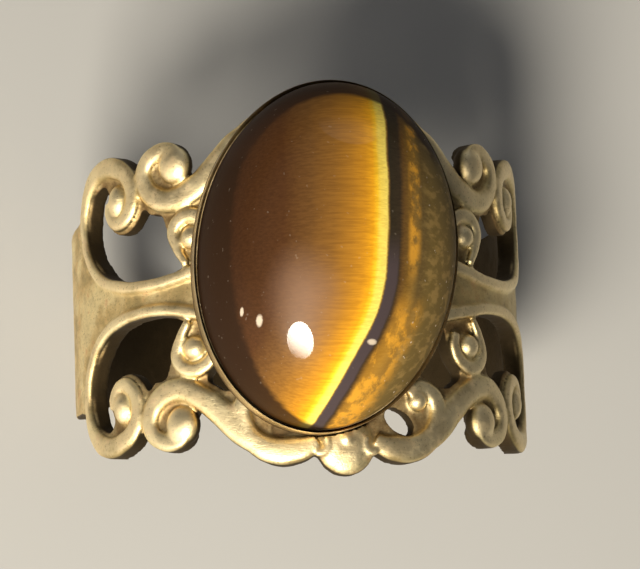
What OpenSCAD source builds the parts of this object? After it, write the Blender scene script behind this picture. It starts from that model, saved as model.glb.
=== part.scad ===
// Openwork cocktail ring with an oval cabochon in a low cup.
// The finger passes along Y, the stone looks up along Z, and the origin
// is the middle of the finger hole. Lengths are in millimetres.

/* [Finger hole] */
// Inside diameter of the band
finger_d = 18.2; // [17.6:0.1:18.8]
// Thickness of the band's metal
band_t = 0.9; // [0.8:0.05:1]

/* [Shank] */
// Width of the shank where it leaves the scrolls
shank_w = 8.2; // [7.8:0.1:8.4]
// Width of the shank at its open ends
tail_w = 4.4; // [4:0.1:6]
// Gap between the two open ends
tail_gap = 2; // [1:0.1:2.4]
// How far the shank's face lies below the wires
shank_drop = 0.2; // [0.1:0.05:0.25]

/* [Scrolls] */
// Depth of the grooves that part the wires
groove_depth = 0.3; // [0.15:0.05:0.35]
// Width of those grooves
groove_w = 0.22; // [0.15:0.01:0.3]
// How far the domed eyes rise above the wires
eye_rise = 0.12; // [0.05:0.01:0.2]

/* [Stone] */
// Length of the cabochon, along the finger
stone_l = 14.5; // [13.4:0.1:14.8]
// Width of the cabochon
stone_w = 10.7; // [9.6:0.1:10.8]
// Height of the cabochon
stone_h = 4.8; // [4:0.1:5.5]
// Upright part of the cabochon's edge
girdle_h = 0.6; // [0.4:0.1:0.8]
// How far the setting sits off centre, across the finger
setting_x = -0.65; // [-0.8:0.05:0]
// How far the setting sits off centre, along the finger
setting_y = 1.1; // [0:0.1:1.3]
// How far the setting is turned on the band, in degrees
setting_turn = -8.5; // [-10:0.5:5]

/* [Cup] */
// Height of the cup, with its floor
cup_h = 1; // [0.8:0.05:1.2]
// Thickness of the cup's floor
cup_floor = 0.25; // [0.2:0.05:0.4]
// Thickness of the cup's wall
cup_wall = 0.15; // [0.15:0.05:0.3]
// Room between the stone and the cup's wall
stone_play = 0.03; // [0.02:0.01:0.1]
// Thickness of the adhesive under the stone
bed_t = 0.1; // [0.05:0.05:0.2]
// Metal left under the flat seat at the top of the band
seat_t = 0.45; // [0.4:0.05:0.6]

/* [Hidden] */
$fn = 240;

bore_r = finger_d / 2;
band_r = bore_r + band_t;
seat_z = bore_r + seat_t;
bed_z = seat_z + cup_floor;
stone_z = bed_z + bed_t;
cup_a = stone_w / 2 + stone_play + cup_wall;
cup_b = stone_l / 2 + stone_play + cup_wall;
seat_clear = 0.05;   // gap round the cup where it is let into the scrolls
deep = 4;            // how far a cutter reaches below the band's face
high = 2;            // and above it
past = 9.5;          // a distance beyond the band's edge, for the blank
through = 40;        // longer than the ring, for cuts that pass right through it
overlap = 0.05;      // how far the upper blank reaches below the middle, to join the lower
bed_clear = 0.1;     // the adhesive stops this far inside the stone's edge
solder_reach = 4;    // how far out the solder goes, across the finger
solder_l = 2.4;      // its length along the finger
solder_clear = 0.15; // where the wedge is still too thin to hold solder

// The openwork is drawn flat, as [distance round the band, distance along the
// finger], for one quarter. This much turn goes with each millimetre of it.
turn_per_mm = 180 / PI / 10;

// A smooth curve through points, from its first to its last.
function bend(a, b, c, d, t) = (2 * b + (c - a) * t
    + (2 * a - 5 * b + 4 * c - d) * t * t
    + (3 * b - a - 3 * c + d) * t * t * t) / 2;
function smooth(p, steps = 3) = concat([
    for (i = [0:len(p) - 2])
        for (k = [0:steps - 1])
            bend(p[max(i - 1, 0)], p[i], p[i + 1], p[min(i + 2, len(p) - 1)], k / steps)
], [p[len(p) - 1]]);
function arc(mid, r, from, to, steps = 8) = [
    for (k = [0:steps]) mid + r * [cos(from + (to - from) * k / steps), sin(from + (to - from) * k / steps)]
];
function oval(a, b, n = 72) = [for (k = [0:n - 1]) [a * cos(360 * k / n), b * sin(360 * k / n)]];

// Where a flat point lands on the band's face, seen along the radius at turn.
function seen(p, turn) = [for (q = p) [band_r * sin(q[0] * turn_per_mm - turn), q[1]]];

// The four valleys along a quarter of the band's edge. Each runs from the crest of
// one scroll to the crest of the next, and leaves the crest a little outwards, so
// that neighbours cross there.
lobe_valley = concat([[-0.4, 8.1]],
    smooth([[0.05, 7.9], [0.6, 7.75], [1.05, 7.4], [1.3, 7]]),
    smooth([[1.3, 7], [1.8, 7.25], [2.75, 7.42]]), [[3.4, 7.6]]);
near_valley = concat([[2.2, 7.6]],
    smooth([[2.85, 7.42], [3.7, 7.2], [4.5, 6.6], [5.3, 5.75], [6.2, 5.1]]),
    smooth([[6.2, 5.1], [6.45, 5.7], [7, 6.3], [7.75, 6.5]]), [[8.4, 6.7]]);
round_valley = concat([[7.2, 6.7]],
    smooth([[7.85, 6.5], [8.6, 6.3], [9.25, 5.75]]),
    smooth([[9.25, 5.75], [9.8, 6.2], [10.75, 6.42]]), [[11.4, 6.6]]);
far_valley = concat([[10.2, 6.6]],
    smooth([[10.85, 6.42], [11.9, 6.3], [12.8, 5.8], [13.5, 5], [14, 4.3], [14.8, shank_w / 2],
        [16.4, shank_w / 2]]));

// The openings of one quarter.
big_opening = concat(
    smooth([[6.75, 1.4], [7.1, 1.04], [8, 0.88], [9, 0.82], [10, 0.9], [11, 1.15], [12, 1.8], [12.85, 2.8],
        [13, 3.8], [12.75, 4.7], [12.15, 5.2], [11.6, 5.25], [11.35, 4.9], [11.5, 4.2], [11.2, 3.4],
        [10.5, 3], [9.8, 3.1], [9.3, 3.5], [8.95, 3.9]]),
    smooth([[8.95, 3.9], [8.6, 3.6], [8, 3.45], [7.75, 2.9], [7.5, 2.2], [7, 1.75], [6.75, 1.4]]));
small_opening = concat(
    smooth([[4.35, 1.3], [4.2, 2], [3.85, 2.8], [3.45, 3.6], [4.1, 4], [5.1, 4.25]]),
    smooth([[5.1, 4.25], [5.5, 4.05], [5.95, 3.7], [5.7, 3.25], [5.3, 2.8], [5.15, 2.1], [5.05, 1.4],
        [4.7, 1.1], [4.35, 1.3]]));
scroll_hole = smooth([[1.75, 5.4], [2, 5.95], [2.5, 6.3], [3, 6.35], [3.2, 6.05], [3, 5.6], [2.5, 5.25],
    [2, 5.1], [1.75, 5.4]]);

// The hollow of the web, between its two raised rims, and on to the shank.
web_hollow = concat(
    smooth([[5.4, 0], [5.6, 0.3], [7, 0.42], [8.5, 0.36], [10, 0.44], [11.2, 0.75], [12.2, 1.3],
        [13, 2.1], [13.5, 3], [13.6, 3.8], [14.2, 4.3]]),
    [[14.6, 4.6], [16.6, 4.6], [16.6, 0]]);

// Eyes as [round the band, along the finger, radius].
eyes = [[3.3, 4.85, 0.42], [7.15, 5.4, 0.55], [6.4, 2.35, 0.42], [10.45, 4.3, 0.55]];
lobe_eye = [0, 6.85, 0.55];

// Grooves as [middle of the turn, radius, first angle, last angle].
grooves = [
    [[3.3, 4.85], 0.62, -95, 60],
    [[7.15, 5.4], 0.82, -120, 40],
    [[6.4, 2.35], 0.62, -25, 150],
    [[10.45, 4.3], 0.85, 95, 250]
];

// Runs a cutter through the band, along the radius at turn degrees from the top.
module pierce(outline, turn) {
    rotate([0, turn, 0])
        translate([0, 0, band_r - deep])
            linear_extrude(height = deep + high)
                polygon(seen(outline, turn));
}

// Keeps the part of a cutter that lies outside radius r.
module shallow(r) {
    difference() {
        children();
        rotate([90, 0, 0])
            cylinder(r = r, h = through, center = true);
    }
}

// Repeats one quarter of the openwork in all four.
module quarters() {
    for (side = [0, 1])
        for (end = [0, 1])
            mirror([side, 0, 0])
                mirror([0, end, 0])
                    children();
}

// What lies past a stretch of the band's edge.
module past_edge(stretch, turn) {
    first = stretch[0];
    last = stretch[len(stretch) - 1];
    pierce(concat(stretch, [[last[0], past + 1], [first[0], past + 1]]), turn);
}

module edge_cuts() {
    past_edge(lobe_valley, 10);
    past_edge(near_valley, 30);
    past_edge(round_valley, 53);
    past_edge(far_valley, 76);
}

module openings() {
    pierce(big_opening, 56);
    pierce(small_opening, 27);
}

// The scroll holes: three go right through, and the front left one is only a hollow.
module scroll_holes() {
    for (side = [0, 1])
        for (end = [0, 1])
            mirror([side, 0, 0])
                mirror([0, end, 0])
                    if (side + end < 2)
                        pierce(scroll_hole, 14);
                    else
                        shallow(band_r - groove_depth)
                            pierce(scroll_hole, 14);
}

module groove(g) {
    turn = g[0][0] * turn_per_mm;
    shallow(band_r - groove_depth)
        pierce(concat(arc(g[0], g[1] + groove_w / 2, g[2], g[3]),
            arc(g[0], g[1] - groove_w / 2, g[3], g[2])), turn);
}

// A low dome on the band's face.
module eye(e) {
    rise = eye_rise + groove_depth;
    ball_r = (e[2] * e[2] + rise * rise) / (2 * rise);
    rotate([0, e[0] * turn_per_mm, 0])
        translate([0, e[1], band_r + eye_rise - ball_r])
            intersection() {
                sphere(r = ball_r);
                translate([0, 0, ball_r - rise])
                    cylinder(r = e[2], h = rise + 1);
            }
}

// The band's width as the shank narrows, seen from the side.
module side_outline() {
    half = concat(
        [[past, band_r + high], [past, -overlap]],
        smooth([[shank_w / 2, -overlap], [shank_w / 2 - 0.2, -3], [tail_w / 2 + 0.6, -6],
            [tail_w / 2 + 0.1, -9], [tail_w / 2, -band_r - 1]]),
        [[tail_w / 2, -band_r - 1]]);
    rotate([90, 0, 90])
        linear_extrude(height = through, center = true)
            polygon(concat(half, [for (k = [len(half) - 1:-1:0]) [-half[k][0], half[k][1]]]));
}

// The space between the open ends, which are rounded like a tongue.
module tail_cut() {
    round_r = tail_w / 3;
    half = concat(
        [[tail_gap / 2, 0]],
        arc([tail_gap / 2 + round_r, tail_w / 2 - round_r], round_r, 180, 90),
        [[tail_gap / 2 + round_r, tail_w], [0, tail_w]]);
    for (side = [0, 1])
        for (end = [0, 1])
            mirror([side, 0, 0])
                mirror([0, end, 0])
                    translate([0, 0, -band_r - 1])
                        linear_extrude(height = deep)
                            polygon(concat(half, [[0, 0]]));
}

// The shank's face is a little lower than the wires from the side round to the tail.
module shank_face() {
    shallow(band_r - shank_drop)
        translate([-through / 2, -through / 2, -through])
            cube(through);
}

// Puts a piece of the setting in its place at height z.
module in_setting(z) {
    translate([setting_x, setting_y, z])
        rotate([0, 0, setting_turn])
            children();
}

module seat_cut() {
    in_setting(seat_z)
        linear_extrude(height = high)
            polygon(oval(cup_a + seat_clear, cup_b + seat_clear));
}

module filigree_band() {
    color([0.72, 0.58, 0.34])
        difference() {
            union() {
                difference() {
                    intersection() {
                        rotate([90, 0, 0])
                            cylinder(r = band_r, h = through, center = true);
                        side_outline();
                    }
                    quarters() {
                        edge_cuts();
                        openings();
                        for (g = grooves)
                            groove(g);
                        shallow(band_r - shank_drop)
                            pierce(web_hollow, 63);
                    }
                    scroll_holes();
                    shank_face();
                    tail_cut();
                }
                quarters()
                    for (e = eyes)
                        eye(e);
                for (end = [0, 1])
                    mirror([0, end, 0])
                        eye(lobe_eye);
            }
            seat_cut();
            rotate([90, 0, 0])
                cylinder(r = bore_r, h = through, center = true);
        }
}

module bezel_cup() {
    color([0.76, 0.62, 0.38])
        in_setting(seat_z)
            difference() {
                linear_extrude(height = cup_h)
                    polygon(oval(cup_a, cup_b));
                translate([0, 0, cup_floor])
                    linear_extrude(height = cup_h)
                        polygon(oval(cup_a - cup_wall, cup_b - cup_wall));
            }
}

// Solder in the wedge between the cup's flat floor and the curved band.
module solder_joints() {
    inner_x = sqrt(band_r * band_r - seat_z * seat_z) + solder_clear;
    color([0.66, 0.62, 0.52])
        for (side = [-1, 1])
            difference() {
                translate([side > 0 ? inner_x : -solder_reach, -solder_l / 2, seat_z - 1])
                    cube([solder_reach - inner_x, solder_l, 1]);
                rotate([90, 0, 0])
                    cylinder(r = band_r, h = through, center = true);
            }
}

module adhesive_bed() {
    color([0.85, 0.8, 0.62])
        in_setting(bed_z)
            linear_extrude(height = bed_t)
                polygon(oval(stone_w / 2 - bed_clear, stone_l / 2 - bed_clear));
}

// The stone's rings, from its flat back up over the dome.
dome_rings = 12;
ring_n = 56;
dome_ease = 1.05;    // spaces the rings a little wider towards the crown
function ring_scale(k) = k < 2 ? 1 : cos(90 * pow((k - 1) / dome_rings, dome_ease));
function ring_z(k) = k == 0 ? 0
    : girdle_h + (stone_h - girdle_h) * sin(90 * pow((k - 1) / dome_rings, dome_ease));
function ring_pts(k) = [for (q = oval(stone_w / 2, stone_l / 2, ring_n))
    [q[0] * ring_scale(k), q[1] * ring_scale(k), ring_z(k)]];

module cabochon() {
    last = dome_rings;
    pts = concat([for (k = [0:last]) each ring_pts(k)], [[0, 0, stone_h]]);
    sides = [for (k = [0:last - 1]) for (i = [0:ring_n - 1])
        let (j = (i + 1) % ring_n)
            [k * ring_n + i, (k + 1) * ring_n + i, (k + 1) * ring_n + j, k * ring_n + j]];
    crown = [for (i = [0:ring_n - 1]) [last * ring_n + i, len(pts) - 1, last * ring_n + (i + 1) % ring_n]];
    back = [[for (i = [0:ring_n - 1]) i]];
    color([0.55, 0.3, 0.1])
        in_setting(stone_z)
            polyhedron(points = pts, faces = concat(sides, crown, back), convexity = 2);
}

filigree_band();
bezel_cup();
solder_joints();
adhesive_bed();
cabochon();
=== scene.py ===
import math

import bpy
from mathutils import Matrix, Vector


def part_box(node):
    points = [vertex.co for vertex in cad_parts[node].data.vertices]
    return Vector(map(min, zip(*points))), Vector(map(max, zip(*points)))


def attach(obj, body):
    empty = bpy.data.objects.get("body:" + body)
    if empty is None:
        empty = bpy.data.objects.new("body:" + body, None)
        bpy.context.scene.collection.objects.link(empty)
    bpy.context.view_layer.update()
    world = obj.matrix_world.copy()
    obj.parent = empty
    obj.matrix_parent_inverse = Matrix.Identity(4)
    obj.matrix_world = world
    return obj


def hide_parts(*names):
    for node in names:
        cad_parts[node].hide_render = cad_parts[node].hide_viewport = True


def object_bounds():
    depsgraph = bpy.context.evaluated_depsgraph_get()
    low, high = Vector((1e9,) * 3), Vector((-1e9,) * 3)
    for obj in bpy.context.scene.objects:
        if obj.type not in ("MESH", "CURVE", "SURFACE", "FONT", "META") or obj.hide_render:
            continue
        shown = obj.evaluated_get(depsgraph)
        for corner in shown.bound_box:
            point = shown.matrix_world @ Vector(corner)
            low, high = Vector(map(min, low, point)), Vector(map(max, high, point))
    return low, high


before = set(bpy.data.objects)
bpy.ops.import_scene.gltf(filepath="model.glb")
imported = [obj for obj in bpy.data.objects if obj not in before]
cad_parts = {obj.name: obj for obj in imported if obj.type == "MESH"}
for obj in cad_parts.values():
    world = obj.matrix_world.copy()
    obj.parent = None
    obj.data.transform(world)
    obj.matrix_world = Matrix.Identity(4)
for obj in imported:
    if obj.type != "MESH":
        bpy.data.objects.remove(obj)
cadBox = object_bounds()
mm = 0.001
sharpest = math.radians(40)     # edges that turn further than this stay sharp

print("frame loaded")


# working by hand: selection and finishing

def clearSelection():
    if bpy.context.object and bpy.context.object.mode == "EDIT":
        bpy.ops.object.mode_set(mode="OBJECT")
    bpy.ops.object.select_all(action="DESELECT")


def pick(*pieces):
    clearSelection()
    for piece in pieces:
        piece.select_set(True)
    bpy.context.view_layer.objects.active = pieces[0]


def newest(name):
    piece = bpy.context.object
    piece.name = name
    return piece


# picks the faces whose middle and normal pass the test, and leaves the piece in edit mode
def pickFaces(piece, test):
    pick(piece)
    bpy.ops.object.mode_set(mode="EDIT")
    bpy.ops.mesh.select_mode(type="FACE")
    bpy.ops.mesh.select_all(action="DESELECT")
    bpy.ops.object.mode_set(mode="OBJECT")
    for face in piece.data.polygons:
        face.select = test(face.center, face.normal)
    bpy.ops.object.mode_set(mode="EDIT")


# picks the points that pass the test, and leaves the piece in edit mode
def pickPoints(piece, test):
    pick(piece)
    bpy.ops.object.mode_set(mode="EDIT")
    bpy.ops.mesh.select_mode(type="VERT")
    bpy.ops.mesh.select_all(action="DESELECT")
    bpy.ops.object.mode_set(mode="OBJECT")
    for point in piece.data.vertices:
        point.select = test(point.co)
    bpy.ops.object.mode_set(mode="EDIT")


def modify(piece, kind, **settings):
    pick(piece)
    modifier = piece.modifiers.new(kind.title(), kind)
    for name, value in settings.items():
        setattr(modifier, name, value)
    bpy.ops.object.modifier_apply(modifier=modifier.name)


def place(piece):
    pick(piece)
    bpy.ops.object.transform_apply(location=True, rotation=True, scale=True)


# everything is drawn in millimetres, so the last step brings it down to metres
def bringToSize(piece):
    place(piece)
    piece.scale = (mm, mm, mm)
    place(piece)


def closeUp(piece, gap=0.001):
    pick(piece)
    bpy.ops.object.mode_set(mode="EDIT")
    bpy.ops.mesh.select_all(action="SELECT")
    bpy.ops.mesh.remove_doubles(threshold=gap)
    bpy.ops.mesh.normals_make_consistent(inside=False)
    bpy.ops.object.mode_set(mode="OBJECT")


def join(pieces, name):
    pick(*pieces)
    bpy.ops.object.join()
    return newest(name)


# camera and stage

shot = {
    "distance": 140,             # millimetres from the ring's middle
    "slide": (1.09, 1.68),       # how far the ring sits off the picture's middle
    "turn": -11.7,               # degrees: seen a little from the left
    "tip": 9.8,                  # and a little from below
    "roll": -2.2,
    "lens": 177.5,
}


def setCamera():
    turn = Matrix.Rotation(math.radians(shot["turn"]), 4, "Y")
    tip = Matrix.Rotation(math.radians(shot["tip"]), 4, "X")
    roll = Matrix.Rotation(math.radians(shot["roll"]), 4, "Z")
    facing = turn @ tip @ roll
    spot = facing @ Vector((shot["slide"][0], shot["slide"][1], shot["distance"])) * mm
    data = bpy.data.cameras.new("camera")
    data.lens = shot["lens"]
    data.sensor_width = 36
    data.clip_start = 0.01
    camera = bpy.data.objects.new("camera", data)
    camera.matrix_world = Matrix.Translation(spot) @ facing
    bpy.context.scene.collection.objects.link(camera)
    bpy.context.scene.camera = camera


lamps = {
    "key": {"from": (-0.35, -0.58, 0.80), "distance": 250, "size": 92, "watts": 0.95,
            "colour": (1.0, 0.93, 0.80)},
    "soft": {"from": (-0.95, -0.45, 0.22), "distance": 320, "size": 220, "watts": 0.32,
             "colour": (1.0, 0.93, 0.84)},
    "top": {"from": (0.25, 0.95, 0.30), "distance": 420, "size": 300, "watts": 0.08,
            "colour": (0.90, 0.94, 1.0)},
}


def addLamp(name, lamp):
    data = bpy.data.lights.new(name, "AREA")
    data.shape = "DISK"
    data.size = lamp["size"] * mm
    data.energy = lamp["watts"]
    data.color = lamp["colour"]
    light = bpy.data.objects.new(name, data)
    way = Vector(lamp["from"]).normalized()
    turn = way.to_track_quat("Z", "Y").to_matrix().to_4x4()
    light.matrix_world = Matrix.Translation(way * lamp["distance"] * mm) @ turn
    bpy.context.scene.collection.objects.link(light)


def setRoom():
    world = bpy.data.worlds.new("room")
    world.use_nodes = True
    world.node_tree.nodes["Background"].inputs["Color"].default_value = (0.80, 0.82, 0.86, 1)
    world.node_tree.nodes["Background"].inputs["Strength"].default_value = 0.10
    bpy.context.scene.world = world
    bpy.context.scene.view_settings.view_transform = "Standard"


# shader maths

class Shade:
    # wraps a node's output, and arithmetic on it adds Math nodes

    def __init__(self, tree, output=None):
        self.tree = tree
        self.output = output

    def node(self, kind, settings, inputs, result=0):
        new = self.tree.nodes.new(kind)
        for name, value in settings.items():
            if name == "stops":
                fillRamp(new.color_ramp, value)
            else:
                setattr(new, name, value)
        for name, value in inputs.items():
            if isinstance(value, Shade):
                self.tree.links.new(value.output, new.inputs[name])
            else:
                new.inputs[name].default_value = value
        return Shade(self.tree, new.outputs[result] if new.outputs else None)

    def math(self, operation, *values):
        return self.node("ShaderNodeMath", {"operation": operation}, dict(enumerate(values)))

    def __add__(self, other):
        return self.math("ADD", self, other)

    def __radd__(self, other):
        return self.math("ADD", other, self)

    def __sub__(self, other):
        return self.math("SUBTRACT", self, other)

    def __rsub__(self, other):
        return self.math("SUBTRACT", other, self)

    def __mul__(self, other):
        return self.math("MULTIPLY", self, other)

    def __rmul__(self, other):
        return self.math("MULTIPLY", other, self)

    def __truediv__(self, other):
        return self.math("DIVIDE", self, other)

    def __pow__(self, other):
        return self.math("POWER", self, other)


def fillRamp(rampData, stops):
    while len(rampData.elements) > 1:
        rampData.elements.remove(rampData.elements[-1])
    rampData.elements[0].position = stops[0][0]
    rampData.elements[0].color = (*stops[0][1], 1)
    for position, colour in stops[1:]:
        rampData.elements.new(position).color = (*colour, 1)


def rises(value, low, high):
    return value.node("ShaderNodeMapRange", {"interpolation_type": "SMOOTHSTEP"},
                      {"Value": value, "From Min": low, "From Max": high})


def falls(value, low, high):
    return 1 - rises(value, low, high)


def mixed(factor, first, second, how="MIX"):
    colours = {0: factor, 6: first, 7: second}
    for slot in (6, 7):
        if not isinstance(colours[slot], Shade):
            colours[slot] = (*colours[slot], 1)
    start = next(part for part in colours.values() if isinstance(part, Shade))
    return start.node("ShaderNodeMix", {"data_type": "RGBA", "blend_type": how}, colours, 2)


def ramp(value, stops):
    return value.node("ShaderNodeValToRGB", {"stops": stops}, {"Fac": value})


def noise(where, scale, detail=3.0, roughness=0.55):
    return where.node("ShaderNodeTexNoise", {},
                      {"Vector": where, "Scale": scale, "Detail": detail, "Roughness": roughness})


# coordinates in millimetres from a middle point, stretched and turned as asked
def measured(start, middle=(0, 0, 0), stretch=(1, 1, 1), turn=(0, 0, 0)):
    place = start.node("ShaderNodeTexCoord", {}, {}, "Object")
    size = start.node("ShaderNodeMapping", {"vector_type": "POINT"},
                      {"Vector": place, "Scale": (1000, 1000, 1000),
                       "Location": tuple(-part for part in middle)})
    return start.node("ShaderNodeMapping", {"vector_type": "POINT"},
                      {"Vector": size, "Scale": stretch,
                       "Rotation": tuple(math.radians(part) for part in turn)})


def axes(where):
    return [where.node("ShaderNodeSeparateXYZ", {}, {"Vector": where}, axis) for axis in "XYZ"]


def newMaterial(name):
    material = bpy.data.materials.new(name)
    material.use_nodes = True
    material.node_tree.nodes.clear()
    return material, Shade(material.node_tree)


def finishMaterial(start, inputs):
    shader = start.node("ShaderNodeBsdfPrincipled", {}, inputs)
    start.node("ShaderNodeOutputMaterial", {}, {"Surface": shader})


def bumped(start, height, depth, strength=1.0):
    return start.node("ShaderNodeBump", {}, {"Height": height, "Distance": depth * mm,
                                             "Strength": strength})


# the brass

brassLook = {
    "bare": (0.95, 0.79, 0.43),
    "rubbed": (1.0, 0.84, 0.54),       # the highest spots
    "aged": (0.74, 0.55, 0.25),        # the usual face
    "tarnish": (0.13, 0.065, 0.025),   # in the grooves
    "copper": (0.66, 0.36, 0.19),      # pinkish patches
    "olive": (0.36, 0.29, 0.13),
    "inside": (0.060, 0.042, 0.021),   # painted shade in the finger hole and on the walls of the openings
    "roughness": 0.47,
}
# the cup is duller than the band
cupLook = dict(brassLook, bare=(0.52, 0.41, 0.22), aged=(0.34, 0.25, 0.12), rubbed=(0.66, 0.52, 0.30))


# antique brass: height gives a point's level in millimetres and how far its face lies in painted shade,
# and the metal is dark below low and rubbed above high
def brass(name, height, low, high, look=brassLook):
    material, start = newMaterial(name)
    where = measured(start)
    level, paintedShade = height(start, where)
    cloud = noise(where, 0.55, 4.0, 0.6)
    patch = noise(where, 1.7, 4.0, 0.62)
    grain = noise(where, 9.0, 3.0, 0.6)
    uneven = level + (patch - 0.5) * 0.22 + (grain - 0.5) * 0.08
    sunk = falls(uneven, low, high)
    aged = mixed(rises(cloud, 0.40, 0.62), look["aged"], look["bare"])
    aged = mixed(rises(patch, 0.56, 0.72) * 0.55, aged, look["copper"])
    aged = mixed(falls(cloud, 0.34, 0.46) * 0.5, aged, look["olive"])
    # painted shade: the right side, where less light falls, is darkened towards olive
    aged = mixed(rises(axes(where)[0] + (cloud - 0.5) * 5, 2.5, 7.5) * 0.55, aged, look["olive"])
    aged = mixed(rises(uneven, high, high + 0.16) * 0.6, aged, look["rubbed"])
    colour = mixed(sunk * 0.85, aged, look["tarnish"])
    colour = mixed(falls(grain, 0.30, 0.42) * 0.35, colour, look["tarnish"])
    # painted shade: the dark inside colour laid on the walls, the finger hole and the cup's foot
    colour = mixed(paintedShade * (0.82 + cloud * 0.3), colour, look["inside"])
    scratches = noise(measured(start, (0, 0, 0), (1, 14, 4), (0, 0, 24)), 2.0, 2.0)
    roughness = look["roughness"] + sunk * 0.22 + rises(patch, 0.45, 0.7) * 0.12
    relief = patch * 0.5 + grain * 0.35 + scratches * 0.25
    finishMaterial(start, {
        "Base Color": colour,
        "Metallic": 1.0,
        "Roughness": roughness,
        "Normal": bumped(start, relief, 0.035, 0.8),
    })
    return material


# the band, drawn flat and bent round the finger

band = {
    "face": 10.0,             # radius at the crest of the wires, where lengths are true
    "sheet": 0.58,            # thickness of the openwork's ground
    "web": 0.70,              # of the web between its two rims
    "shank": 0.70,            # of the plain shank
    "crest": 0.90,            # height of the wires
    "plug": 0.50,             # the front left scroll hole is only a hollow
    "pad": (4.4, 5.5, 0.6),   # the plain middle under the cup: half width, half length, thickness
    "button": 1.28,           # radius of the lobe's button
    "skin": 0.05,             # unevenness of the casting
    "voxel": 0.08,
    "triangles": 180000,
}

# one quarter of the openwork: each wire is a row of
# (distance round the band, distance along the finger, width)
wires = {
    "collarScroll": [(1.25, 6.5, 0.65), (1.6, 6.72, 0.9), (2.2, 6.85, 1.15), (3.0, 6.85, 1.15),
                     (3.8, 6.45, 1.05), (4.3, 5.75, 0.95), (4.35, 5.0, 0.85), (3.95, 4.45, 0.7),
                     (3.3, 4.3, 0.55), (2.85, 4.6, 0.4)],
    "longWire": [(3.3, 6.8, 0.9), (4.4, 6.0, 1.15), (5.3, 5.1, 1.2), (6.2, 4.42, 1.1),
                 (7.2, 4.02, 1.05), (8.15, 4.22, 1.0), (8.78, 4.95, 0.9), (8.72, 5.65, 0.8),
                 (8.15, 6.1, 0.75), (7.5, 6.24, 0.62), (6.97, 6.03, 0.48), (6.74, 5.72, 0.3)],
    "webScroll": [(6.66, 1.22, 0.34), (7.08, 1.95, 0.46), (7.25, 2.75, 0.58), (6.65, 3.25, 0.62),
                  (5.9, 3.1, 0.6), (5.45, 2.5, 0.55), (5.5, 1.85, 0.45)],
    "lobeHook": [(1.3, 7.0, 0.3), (0.98, 6.98, 0.34), (0.78, 6.7, 0.32), (0.86, 6.38, 0.24)],
    "borderWire": [(4.6, 1.2, 0.55), (5.6, 1.02, 0.55), (6.5, 0.85, 0.52), (7.5, 0.64, 0.5),
                   (9.0, 0.56, 0.5), (10.5, 0.75, 0.52), (11.8, 1.25, 0.5), (12.85, 2.2, 0.5),
                   (13.35, 3.4, 0.5), (13.3, 4.5, 0.62), (12.75, 5.4, 0.85), (11.75, 5.95, 0.92),
                   (10.6, 5.9, 0.92), (9.75, 5.35, 0.85), (9.5, 4.5, 0.78), (9.8, 3.75, 0.72),
                   (10.45, 3.45, 0.6), (11.0, 3.85, 0.48), (11.05, 4.45, 0.35)],
}

# the domed eyes: (round, along, radius, stretch along the finger, height)
eyes = [(3.3, 4.85, 0.47, 1.0, 1.06), (7.15, 5.5, 0.80, 1.05, 1.10), (6.4, 2.35, 0.55, 1.0, 1.06),
        (10.5, 4.45, 0.53, 1.4, 1.04)]

# ground plates: an outline, then its holes, all (round, along)
openworkEdge = [(-0.2, -0.2), (-0.2, 7.5), (0.7, 7.35), (1.3, 6.85), (2.0, 7.0), (3.0, 7.2), (3.8, 6.9),
                (4.5, 6.35), (5.3, 5.5), (6.3, 4.9), (6.9, 5.7), (7.7, 6.1), (8.6, 6.0), (9.25, 5.6),
                (9.9, 6.05), (10.8, 6.25), (11.9, 6.15), (12.8, 5.6), (13.4, 4.9), (14.2, 4.0),
                (14.6, 3.6), (14.6, -0.2)]
bigOpening = [(6.85, 1.35), (7.3, 1.0), (8.0, 0.86), (9.0, 0.8), (10.0, 0.88), (11.0, 1.15), (12.0, 1.8),
              (12.9, 2.8), (13.05, 3.8), (12.75, 4.7), (12.15, 5.2), (11.6, 5.25), (11.35, 4.9), (11.5, 4.2),
              (11.2, 3.4), (10.5, 3.0), (9.8, 3.1), (9.3, 3.5), (8.95, 3.85), (8.6, 3.6), (8.0, 3.45),
              (7.75, 2.9), (7.5, 2.2), (7.1, 1.75)]
smallOpening = [(4.35, 1.5), (4.2, 2.0), (3.85, 2.8), (3.5, 3.55), (4.1, 3.95), (5.1, 4.2), (5.5, 4.0),
                (5.9, 3.65), (5.65, 3.3), (5.25, 2.8), (5.1, 2.1), (5.0, 1.6), (4.7, 1.35)]
scrollHole = [(1.8, 5.4), (2.0, 5.9), (2.5, 6.2), (2.95, 6.25), (3.15, 6.0), (3.0, 5.6), (2.5, 5.25),
              (2.0, 5.15)]
scrollMiddle = (2.5, 5.7)
webEdge = [(4.4, -0.2), (4.4, 1.1), (5.8, 0.9), (7.5, 0.6), (9.0, 0.5), (10.5, 0.7), (11.8, 1.3),
           (12.75, 2.3), (13.2, 3.4), (13.2, 4.5), (14.3, 3.8), (14.6, -0.2)]
shankEdge = [(13.0, -0.2), (13.15, 3.5), (13.3, 4.75), (14.2, 4.25), (15.7, 4.08), (18.7, 3.85),
             (22.1, 2.85), (25.0, 2.45), (28.3, 2.22), (29.5, 2.0), (30.15, 1.4), (30.4, 0.6),
             (30.4, -0.2)]


# knots past the mirror lines have straight handles, or the long edge between them would bulge and
# its mirror image would fill the openings
def addRoute(spline, points, radius=False):
    spline.bezier_points.add(len(points) - len(spline.bezier_points))
    for knot, point in zip(spline.bezier_points, points):
        handles = "VECTOR" if min(point[0], point[1]) < 0 else "AUTO"
        knot.handle_left_type = handles
        knot.handle_right_type = handles
        knot.co = (point[0], point[1], 0)
        if radius:
            knot.radius = point[2]


def leaned(value, power):
    return math.copysign(abs(value) ** power, value)


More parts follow.
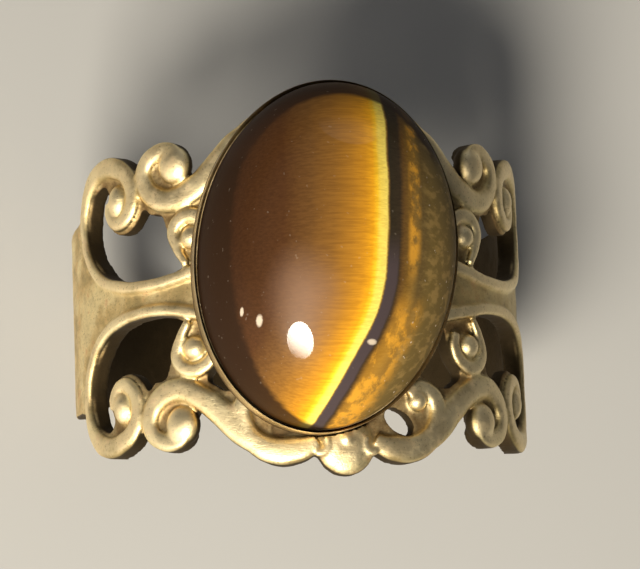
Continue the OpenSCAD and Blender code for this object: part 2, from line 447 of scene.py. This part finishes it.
# the wires' cross-section at one millimetre wide: a round crest on upright sides
def wireSection():
    bpy.ops.curve.primitive_bezier_curve_add()
    section = newest("wireSection")
    section.data.dimensions = "2D"
    section.data.splines.clear()
    spline = section.data.splines.new("POLY")
    crest = [(0.5 * leaned(math.cos(math.radians(turn)), 0.75),
              0.30 * leaned(math.sin(math.radians(turn)), 0.85) - 0.30)
             for turn in range(0, 181, 10)]
    corners = crest + [(-0.5, -2.6), (0.5, -2.6)]
    spline.points.add(len(corners) - 1)
    for point, (across, up) in zip(spline.points, corners):
        point.co = (across, up, 0, 1)
    spline.use_cyclic_u = True
    return section


def addWire(name, route, section):
    bpy.ops.curve.primitive_bezier_curve_add()
    piece = newest(name)
    curve = piece.data
    curve.dimensions = "3D"
    curve.twist_mode = "Z_UP"
    curve.resolution_u = 10
    curve.bevel_mode = "OBJECT"
    curve.bevel_object = section
    curve.use_fill_caps = True
    addRoute(curve.splines[0], route, radius=True)
    curve.splines[0].radius_interpolation = "CARDINAL"
    piece.location.z = band["crest"]
    place(piece)
    pick(piece)
    bpy.ops.object.convert(target="MESH")
    closeUp(piece)
    bpy.ops.object.mode_set(mode="EDIT")
    bpy.ops.mesh.select_all(action="SELECT")
    bpy.ops.mesh.bisect(plane_co=(0, 0, 0), plane_no=(0, 0, 1), use_fill=True, clear_inner=True)
    bpy.ops.object.mode_set(mode="OBJECT")
    return piece


def addPlate(name, thickness, outlines):
    bpy.ops.curve.primitive_bezier_curve_add()
    piece = newest(name)
    curve = piece.data
    curve.dimensions = "2D"
    curve.fill_mode = "BOTH"
    curve.resolution_u = 5
    curve.extrude = thickness / 2
    curve.splines.clear()
    for outline in outlines:
        spline = curve.splines.new("BEZIER")
        addRoute(spline, outline)
        spline.use_cyclic_u = True
    piece.location.z = thickness / 2
    pick(piece)
    bpy.ops.object.convert(target="MESH")
    place(piece)
    closeUp(piece)
    return piece


def addEye(name, eye):
    around, along, radius, stretch, height = eye
    bpy.ops.mesh.primitive_uv_sphere_add(segments=32, ring_count=20, radius=1,
                                         location=(around, along, height * 0.5))
    piece = newest(name)
    piece.scale = (radius, radius * stretch, height * 0.5)
    place(piece)
    return piece


# the lobe at the middle of each long edge: a low button with a bead on its inner side
def addLobe():
    bpy.ops.mesh.primitive_cylinder_add(vertices=64, radius=band["button"], depth=0.6,
                                        location=(0, 6.68, 0.3))
    button = newest("lobe")
    place(button)
    pickFaces(button, lambda middle, normal: normal.z > 0.9)
    bpy.ops.mesh.inset(thickness=0.2, depth=0.15)
    bpy.ops.mesh.inset(thickness=0.3, depth=0.1)
    bpy.ops.mesh.inset(thickness=0.35, depth=0.05)
    bpy.ops.object.mode_set(mode="OBJECT")
    bead = addEye("lobeBead", (0, 6.45, 0.38, 1.0, 1.04))
    return [button, bead]


def makeBand():
    clearSelection()
    section = wireSection()
    parts = [addPlate("ground", band["sheet"], [openworkEdge, bigOpening, smallOpening, scrollHole]),
             addPlate("webPlate", band["web"], [webEdge]),
             addPlate("shankPlate", band["shank"], [shankEdge])]
    for name, route in wires.items():
        parts.append(addWire(name, route, section))
    for number, eye in enumerate(eyes):
        parts.append(addEye("eye" + str(number), eye))
    parts += addLobe()
    padWidth, padLength, padThick = band["pad"]
    bpy.ops.mesh.primitive_cylinder_add(vertices=96, radius=1, depth=padThick, location=(0, 0, padThick / 2))
    pad = newest("pad")
    pad.scale = (padWidth, padLength, 1)
    place(pad)
    parts.append(pad)
    pick(section)
    bpy.ops.object.delete()
    piece = join(parts, "filigreeBand")
    modify(piece, "MIRROR", use_axis=(True, True, False), use_mirror_merge=False)
    frontLeft = [(-around, -along) for around, along in scrollHole]
    plug = addPlate("plug", band["plug"], [frontLeft])
    plug.scale = (1.3, 1.3, 1)
    plug.location = (0.3 * scrollMiddle[0], 0.3 * scrollMiddle[1], 0)
    place(plug)
    piece = join([piece, plug], "filigreeBand")
    modify(piece, "REMESH", mode="VOXEL", voxel_size=band["voxel"], adaptivity=0.0)
    modify(piece, "SMOOTH", factor=0.5, iterations=2)
    hammer = bpy.data.textures.new("castSkin", "CLOUDS")
    hammer.noise_scale = 0.9
    hammer.noise_depth = 3
    modify(piece, "DISPLACE", texture=hammer, strength=band["skin"], mid_level=0.5)
    bendRound(piece)
    return piece


# stands the flat band on its edge, bends it into a circle and lays it back along the finger
def bendRound(piece):
    piece.rotation_euler = (math.radians(90), 0, 0)
    piece.location = (0, band["crest"], 0)
    place(piece)
    around = [point.co.x for point in piece.data.vertices]
    whole = (max(around) - min(around)) / band["face"]
    modify(piece, "SIMPLE_DEFORM", deform_method="BEND", deform_axis="Z", angle=whole)
    piece.location = (0, -band["face"], 0)
    place(piece)
    piece.rotation_euler = (math.radians(-90), 0, 0)
    place(piece)


# the setting: cup, adhesive and stone

settingTurn = math.radians(-8.5)   # clockwise, seen from above


# half the width and length of a turned oval, from the box that holds it
def ovalInBox(low, high):
    across = ((high.x - low.x) / 2) ** 2
    along = ((high.y - low.y) / 2) ** 2
    cosine = math.cos(settingTurn) ** 2
    sine = math.sin(settingTurn) ** 2
    spread = math.cos(2 * settingTurn)
    width = math.sqrt((across * cosine - along * sine) / spread)
    length = math.sqrt((along * cosine - across * sine) / spread)
    return width, length


cupLow, cupHigh = (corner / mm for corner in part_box("bezel_cup"))
stoneLow, stoneHigh = (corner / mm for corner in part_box("cabochon"))
cupOval = ovalInBox(cupLow, cupHigh)
stoneOval = ovalInBox(stoneLow, stoneHigh)
setting = {
    "x": (cupLow.x + cupHigh.x) / 2,
    "y": (cupLow.y + cupHigh.y) / 2,
    "seat": cupLow.z,
    "cupA": cupOval[0],
    "cupB": cupOval[1],
    "cupTop": cupHigh.z,
    "wall": 0.15,
    "floor": 0.25,
    "stoneA": stoneOval[0],
    "stoneB": stoneOval[1],
    "stoneFoot": stoneLow.z,
    "stoneTop": stoneHigh.z,
    "girdle": 0.6,
    "ease": 0.15,      # height of the stone's sloped foot
    "seatClear": 0.05,
    "rimRound": 0.05,
    "bed": 0.1,        # thickness of the adhesive
    "climb": 0.3,      # how far the adhesive climbs round the stone
}


# a point's place in the setting's own axes, across it and along it
def inSetting(point):
    x = point.x - setting["x"]
    y = point.y - setting["y"]
    cosine = math.cos(settingTurn)
    sine = math.sin(settingTurn)
    return x * cosine + y * sine, y * cosine - x * sine


# presses the band's top flat where the cup is let in
def cutSeat(piece):
    a = setting["cupA"] + setting["seatClear"]
    b = setting["cupB"] + setting["seatClear"]

    def underCup(point):
        x, y = inSetting(point)
        return point.z > setting["seat"] and (x / a) ** 2 + (y / b) ** 2 < 1

    pickPoints(piece, underCup)
    bpy.ops.transform.resize(value=(1, 1, 0), center_override=(0, 0, setting["seat"]))
    bpy.ops.object.mode_set(mode="OBJECT")


def thin(piece, most):
    triangles = sum(len(face.vertices) - 2 for face in piece.data.polygons)
    if triangles > most:
        modify(piece, "DECIMATE", ratio=most / triangles)


def makeCup():
    clearSelection()
    tall = setting["cupTop"] - setting["seat"]
    bpy.ops.mesh.primitive_cylinder_add(vertices=160, radius=1, depth=tall, rotation=(0, 0, settingTurn),
                                        location=(setting["x"], setting["y"], setting["seat"] + tall / 2))
    piece = newest("bezelCup")
    piece.scale = (setting["cupA"], setting["cupB"], 1)
    place(piece)
    pickFaces(piece, lambda middle, normal: normal.z > 0.9)
    bpy.ops.mesh.inset(thickness=setting["wall"])
    bpy.ops.transform.translate(value=(0, 0, setting["floor"] - tall))
    bpy.ops.object.mode_set(mode="OBJECT")
    modify(piece, "BEVEL", width=setting["rimRound"], segments=3, limit_method="ANGLE",
           angle_limit=math.radians(50))
    dents = bpy.data.textures.new("rimDents", "CLOUDS")
    dents.noise_scale = 1.6
    modify(piece, "DISPLACE", texture=dents, strength=0.03, mid_level=0.5)
    return piece


# adhesive fills the cup's floor and climbs a little round the stone
def makeAdhesive():
    clearSelection()
    low = setting["seat"] + setting["floor"]
    bed = setting["bed"]
    bpy.ops.mesh.primitive_cylinder_add(vertices=128, radius=1, depth=bed, rotation=(0, 0, settingTurn),
                                        location=(setting["x"], setting["y"], low + bed / 2))
    piece = newest("adhesiveBed")
    piece.scale = (setting["stoneA"] + 0.03, setting["stoneB"] + 0.03, 1)
    place(piece)
    pickFaces(piece, lambda middle, normal: normal.z > 0.9)
    bpy.ops.mesh.inset(thickness=0.12)
    bpy.ops.object.mode_set(mode="OBJECT")
    ring = setting["stoneA"] - 0.1
    pickFaces(piece, lambda middle, normal: normal.z > 0.9 and lipPart(middle, ring))
    bpy.ops.mesh.extrude_region_move(TRANSFORM_OT_translate={"value": (0, 0, setting["climb"])})
    bpy.ops.object.mode_set(mode="OBJECT")
    ripple = bpy.data.textures.new("squeezeOut", "CLOUDS")
    ripple.noise_scale = 0.7
    modify(piece, "DISPLACE", texture=ripple, strength=0.05, mid_level=0.5, direction="Z")
    return piece


def lipPart(middle, ring):
    x, y = inSetting(middle)
    longer = ring + setting["stoneB"] - setting["stoneA"]
    return (x / ring) ** 2 + (y / longer) ** 2 > 0.9


# the cabochon: a ball cut at its middle, stood on an upright girdle with an eased foot
def makeStone():
    clearSelection()
    rise = setting["stoneTop"] - setting["stoneFoot"] - setting["girdle"]
    spring = setting["stoneFoot"] + setting["girdle"]
    bpy.ops.mesh.primitive_uv_sphere_add(segments=144, ring_count=96, radius=1, rotation=(0, 0, settingTurn),
                                         location=(setting["x"], setting["y"], spring))
    piece = newest("cabochonStone")
    piece.scale = (setting["stoneA"], setting["stoneB"], rise)
    place(piece)
    pick(piece)
    bpy.ops.object.mode_set(mode="EDIT")
    bpy.ops.mesh.select_all(action="SELECT")
    bpy.ops.mesh.bisect(plane_co=(0, 0, spring), plane_no=(0, 0, 1), use_fill=True, clear_inner=True)
    bpy.ops.object.mode_set(mode="OBJECT")
    pickFaces(piece, lambda middle, normal: normal.z < -0.9)
    ease = setting["ease"]
    bpy.ops.mesh.extrude_region_move(TRANSFORM_OT_translate={"value": (0, 0, ease - setting["girdle"])})
    bpy.ops.mesh.extrude_region_move(TRANSFORM_OT_translate={"value": (0, 0, -ease)})
    bpy.ops.transform.resize(value=(0.97, 0.98, 1), center_override=(setting["x"], setting["y"], 0))
    bpy.ops.object.mode_set(mode="OBJECT")
    wobble = bpy.data.textures.new("handPolish", "CLOUDS")
    wobble.noise_scale = 6
    modify(piece, "DISPLACE", texture=wobble, strength=0.05, mid_level=0.5, direction="Z")
    return piece


# solder in the wedge between the cup's floor and the band

solder = {
    "inner": 3.05,     # where it starts and ends, across the finger
    "outer": 4.05,
    "length": 2.5,     # along the finger
    "deep": 0.56,
    "bite": 0.06,      # how far it reaches into the band
}


def makeSolder():
    clearSelection()
    halves = []
    for side in (-1, 1):
        middle = side * (solder["inner"] + solder["outer"]) / 2
        height = setting["seat"] - solder["deep"] / 2
        bpy.ops.mesh.primitive_cube_add(size=1, location=(middle, 0, height))
        half = newest("solderFillet" + ("Left" if side < 0 else "Right"))
        half.scale = (solder["outer"] - solder["inner"], solder["length"], solder["deep"])
        place(half)
        pick(half)
        bpy.ops.object.mode_set(mode="EDIT")
        bpy.ops.mesh.select_all(action="SELECT")
        bpy.ops.mesh.subdivide(number_cuts=11)
        bpy.ops.object.mode_set(mode="OBJECT")
        restOnBand(half, side)
        halves.append(half)
    piece = join(halves, "solderFillets")
    modify(piece, "SUBSURF", levels=1, render_levels=1)
    return piece


# lets the fillet down on to the band, with a hollow outer face
def restOnBand(half, side):
    for point in half.data.vertices:
        depth = (setting["seat"] - point.co.z) / solder["deep"]
        out = (abs(point.co.x) - solder["inner"]) / (solder["outer"] - solder["inner"])
        ends = 1 - 0.18 * depth * (2 * point.co.y / solder["length"]) ** 2
        hollow = 1 - 0.35 * math.sin(math.pi * min(depth, 1)) * out
        across = solder["inner"] + out * (solder["outer"] - solder["inner"]) * hollow
        point.co.x = side * across
        point.co.y *= ends
        ground = math.sqrt(band["face"] ** 2 - across ** 2)
        room = max(setting["seat"] - ground, 0.01)
        point.co.z = setting["seat"] - depth * (room + solder["bite"])


# the stone's colours

stoneLook = {
    # the ramp's bright yellow stops are a painted sheen, a line of light across the fibres; the other stops
    # are the stone's own bands
    "ramp": [(0.00, (0.045, 0.019, 0.008)), (0.24, (0.080, 0.033, 0.011)), (0.38, (0.150, 0.070, 0.019)),
             (0.50, (0.25, 0.115, 0.021)), (0.60, (0.42, 0.190, 0.020)), (0.67, (0.61, 0.275, 0.017)),
             (0.715, (0.85, 0.40, 0.014)), (0.738, (1.0, 0.60, 0.03)), (0.756, (1.0, 0.76, 0.12)),
             (0.793, (1.0, 0.80, 0.17)), (0.803, (0.22, 0.12, 0.03)), (0.812, (0.034, 0.026, 0.014)),
             (0.868, (0.044, 0.030, 0.016)), (0.890, (0.13, 0.068, 0.018)), (0.930, (0.21, 0.115, 0.022)),
             (0.957, (0.26, 0.15, 0.032)), (0.976, (0.21, 0.13, 0.033)), (1.00, (0.14, 0.092, 0.03))],
    "darkSide": (0.026, 0.012, 0.005),
    "cap": (0.035, 0.016, 0.008),
    "olive": (0.17, 0.115, 0.035),
    "mottle": (0.31, 0.20, 0.065),
    "stripeFoot": (0.078, 0.057, 0.062),   # the dark stripe turns greyish near the front
    "amber": (0.76, 0.36, 0.035),
    "paintedHalo": (0.36, 0.22, 0.15),            # painted halo of soft reflected light round the highlight, near the front
    "speckAndGlint": (0.72, 0.60, 0.46),
    # larger painted glints of reflected light: across, along, half width, half length
    "paintedGlints": [(-3.45, -3.20, 0.13, 0.26), (-4.08, -2.78, 0.07, 0.20), (1.00, -4.17, 0.22, 0.13)],
}


def stoneMaterial():
    material, start = newMaterial("tigersEye")
    middle = (setting["x"], setting["y"], setting["stoneFoot"] + setting["girdle"])
    where = measured(start, middle)
    x, y, z = axes(where)
    waver = noise(measured(start, middle, (0.5, 0.35, 0.5)), 1.0, 3.0)
    # how far a point lies right of the bright line, a painted sheen of light across the fibres, which leans
    # left near the foot of the stone
    lean = start.math("SMOOTH_MAX", -2.7 - y, 0.0, 2.5)
    across = x - (1.67 + 0.07 * y) + 0.5 * lean + (waver - 0.5) * 0.25
    fibres = noise(measured(start, middle, (0.7, 11, 11), (0, 0, 6)), 1.0, 4.0, 0.6)
    coarse = noise(measured(start, middle, (0.35, 2.2, 2.2), (0, 0, 6)), 1.0, 3.0, 0.6)
    ragged = across + (fibres - 0.5) * 0.10
    colour = ramp(ragged * 0.132 + 0.797, stoneLook["ramp"])
    # fibres run across the bands
    silk = mixed(rises(fibres, 0.3, 0.7), (0.80, 0.75, 0.70), (1.12, 1.09, 1.04))
    colour = mixed(0.8, colour, silk, "MULTIPLY")
    stripe = rises(ragged, 0.04, 0.09) * falls(ragged, 0.46, 0.60)
    colour = mixed(stripe * falls(y, -1.5, 0.5) * 0.8, colour, stoneLook["stripeFoot"])
    rightSide = rises(across + (coarse - 0.5) * 0.9, 1.5, 2.1)
    colour = mixed(rightSide * 0.75, colour, stoneLook["olive"])
    colour = mixed(rightSide * rises(coarse, 0.48, 0.62) * 0.7, colour, stoneLook["mottle"])
    # broken amber streaks: thin ones beside the stripe, wider ones at the front
    streak = rises(across, 0.85, 1.1) * falls(across, 1.25, 1.6) * rises(y, -2.0, -0.5)
    lowRight = falls(y, -3.6, -2.0) * rises(across, 0.6, 0.9) * falls(across, 1.5, 2.4)
    broken = rises(noise(measured(start, middle, (1.6, 1.1, 1.6)), 1.0, 4.0, 0.65), 0.42, 0.60)
    colour = mixed(streak * broken * 0.8, colour, stoneLook["amber"])
    colour = mixed(lowRight * (0.25 + broken * 0.6), colour, stoneLook["amber"])
    # painted halo: soft reflected light round the stone's highlight, put into the colour
    haloX = (x + 1.7) / 1.5
    haloY = (y + 2.4) / 2.1
    paintedHalo = falls((haloX * haloX + haloY * haloY) ** 0.5 + (waver - 0.5) * 0.5, 0.0, 1.25)
    colour = mixed(paintedHalo * 0.5, colour, stoneLook["paintedHalo"])
    deep = falls(z + 0.543 * x + (coarse - 0.5) * 0.5, -0.25, 0.18) * falls(x, -0.5, 0.5)
    colour = mixed(deep * 0.92, colour, stoneLook["darkSide"])
    cap = falls(z + (coarse - 0.5) * 0.3, 1.9, 2.15) * rises(y, 3.0, 4.2)
    colour = mixed(cap * 0.9, colour, stoneLook["cap"])
    specks = rises(noise(where, 5.0, 1.0, 0.4), 0.73, 0.77) * (0.12 + rightSide * 0.88)
    colour = mixed(specks * 0.75, colour, stoneLook["speckAndGlint"])
    # painted glints: two small streaks of reflected light on the left and one in the dark stripe
    for glintX, glintY, width, length in stoneLook["paintedGlints"]:
        offX = (x - glintX) / width
        offY = (y - glintY) / length
        glint = falls(offX * offX + offY * offY + (fibres - 0.5) * 0.8, 0.2, 1.2)
        colour = mixed(glint * 0.85, colour, stoneLook["speckAndGlint"])
    finishMaterial(start, {
        "Base Color": colour,
        "Roughness": 0.34 + falls(z, 1.8, 3.2) * 0.3,
        "Specular IOR Level": 0.07,
        "Coat Weight": rises(z, 2.8, 3.4),     # the flanks are worn dull
        "Coat Roughness": 0.03,
        "Coat IOR": 1.45,
        "Normal": bumped(start, specks, 0.02, 0.5),
    })
    return material


def solderMaterial():
    material, start = newMaterial("solder")
    where = measured(start)
    cloud = noise(where, 2.2, 4.0)
    grain = noise(where, 12.0, 3.0)
    colour = mixed(rises(cloud, 0.4, 0.65), (0.42, 0.39, 0.32), (0.62, 0.58, 0.50))
    colour = mixed(falls(grain, 0.3, 0.45) * 0.5, colour, (0.16, 0.12, 0.08))
    finishMaterial(start, {
        "Base Color": colour,
        "Metallic": 1.0,
        "Roughness": 0.38 + cloud * 0.2,
        "Normal": bumped(start, cloud + grain * 0.4, 0.03, 0.8),
    })
    return material


def adhesiveMaterial():
    material, start = newMaterial("adhesive")
    where = measured(start)
    cloud = noise(where, 1.1, 4.0)
    bubbles = rises(noise(where, 5.0, 1.0), 0.62, 0.72)
    colour = mixed(rises(cloud, 0.35, 0.65), (0.30, 0.20, 0.09), (0.52, 0.40, 0.22))
    colour = mixed(bubbles * 0.5, colour, (0.70, 0.60, 0.42))
    finishMaterial(start, {
        "Base Color": colour,
        "Roughness": 0.22 + cloud * 0.15,
        "Specular IOR Level": 0.5,
        "Normal": bumped(start, bubbles + cloud * 0.5, 0.02, 0.6),
    })
    return material


def floorMaterial():
    material, start = newMaterial("paleTable")
    where = measured(start)
    cloud = noise(where, 0.02, 2.0)
    finishMaterial(start, {
        "Base Color": mixed(cloud, (0.46, 0.455, 0.44), (0.50, 0.495, 0.48)),
        "Roughness": 0.8,
    })
    return material


def makeFloor():
    clearSelection()
    bpy.ops.mesh.primitive_plane_add(size=1.6, location=(0, 0, cadBox[0].z))
    floor = newest("tableTop")
    floor.data.materials.append(floorMaterial())


# the band's level is its distance from the middle of the finger hole
def roundBand(start, where):
    x, _, z = axes(where)
    radius = (x * x + z * z) ** 0.5
    faceX, _, faceZ = axes(start.node("ShaderNodeTexCoord", {}, {}, "Normal"))
    outward = (x * faceX + z * faceZ) / radius
    # painted shade: faces turned away from the outside, below the wire crests, are marked to take the dark
    # inside colour
    wall = falls(outward, 0.2, 0.7) * falls(radius, 9.78, 9.96)
    return radius, wall


def upTheCup(start, where):
    z = axes(where)[2]
    # painted shade: the cup's foot, where it meets the band, is marked to take the dark inside colour
    return z, falls(z, setting["seat"], setting["seat"] + 0.3)


def dress(piece, material, node):
    pick(piece)
    bpy.ops.object.shade_smooth_by_angle(angle=sharpest)
    piece.data.materials.clear()
    piece.data.materials.append(material)
    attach(piece, "root")
    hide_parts(node)


setCamera()
for lampName, lamp in lamps.items():
    addLamp(lampName, lamp)
setRoom()
makeFloor()
print("stage set")

ringBand = makeBand()
cutSeat(ringBand)
thin(ringBand, band["triangles"])
bringToSize(ringBand)
dress(ringBand, brass("antiqueBrass", roundBand, 9.60, 9.86), "filigree_band")
print("band bent and seated:", len(ringBand.data.polygons), "faces")

cup = makeCup()
bringToSize(cup)
dress(cup, brass("cupBrass", upTheCup, setting["seat"] + 0.1, setting["seat"] + 0.6, cupLook),
      "bezel_cup")
adhesive = makeAdhesive()
bringToSize(adhesive)
dress(adhesive, adhesiveMaterial(), "adhesive_bed")
fillets = makeSolder()
bringToSize(fillets)
dress(fillets, solderMaterial(), "solder_joints")
print("cup soldered on")

stone = makeStone()
bringToSize(stone)
dress(stone, stoneMaterial(), "cabochon")
print("stone set")
